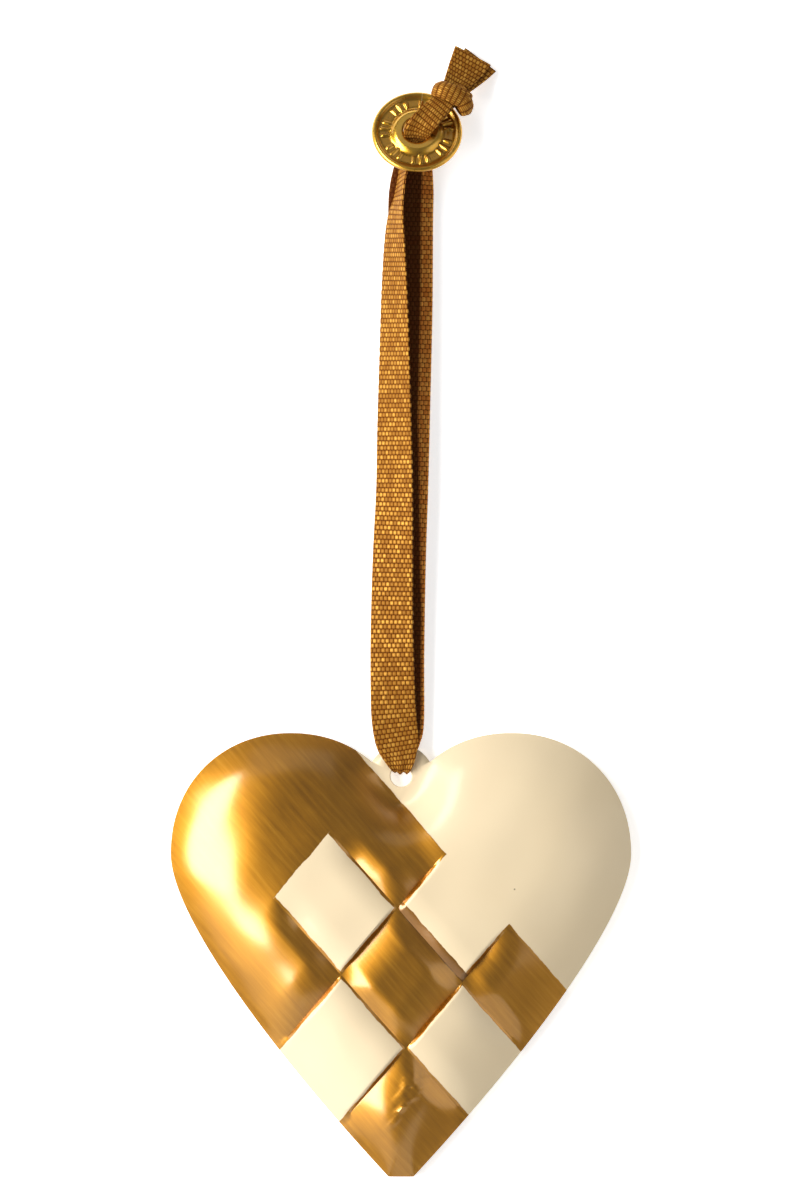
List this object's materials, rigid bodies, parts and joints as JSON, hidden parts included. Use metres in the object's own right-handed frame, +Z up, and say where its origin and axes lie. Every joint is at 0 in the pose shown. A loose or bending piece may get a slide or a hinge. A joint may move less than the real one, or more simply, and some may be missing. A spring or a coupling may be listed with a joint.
{
  "type": "woven metal heart ornament",
  "caption": "Flat-backed pressed metal heart with a woven strip relief, a lug at the cleft, and a ribbon loop closed by a brass button and a knot.",
  "frame": {"origin": "on the floor under the middle of the heart, which lies on the rim of its hollow back; the ribbon and the button on it are left out of this box", "axes": "+Z up out of the heart's painted face, +Y from the tip to the lug and along the ribbon, +X to the right as the heart is seen from the front"},
  "size_m": [0.092, 0.2264, 0.011],
  "materials": {
    "painted_sheet": "pressed sheet, brushed gold paint on one set of strips and glossy cream enamel on the other",
    "brass": "aged olive brass, worn bright on the raised edges",
    "ribbon_weave": "ribbed gold-brown woven ribbon with a metallic glint"
  },
  "bodies": {
    "root": {"heart": "painted_sheet", "button": "brass", "ribbon": "ribbon_weave"}
  },
  "joints": []
}
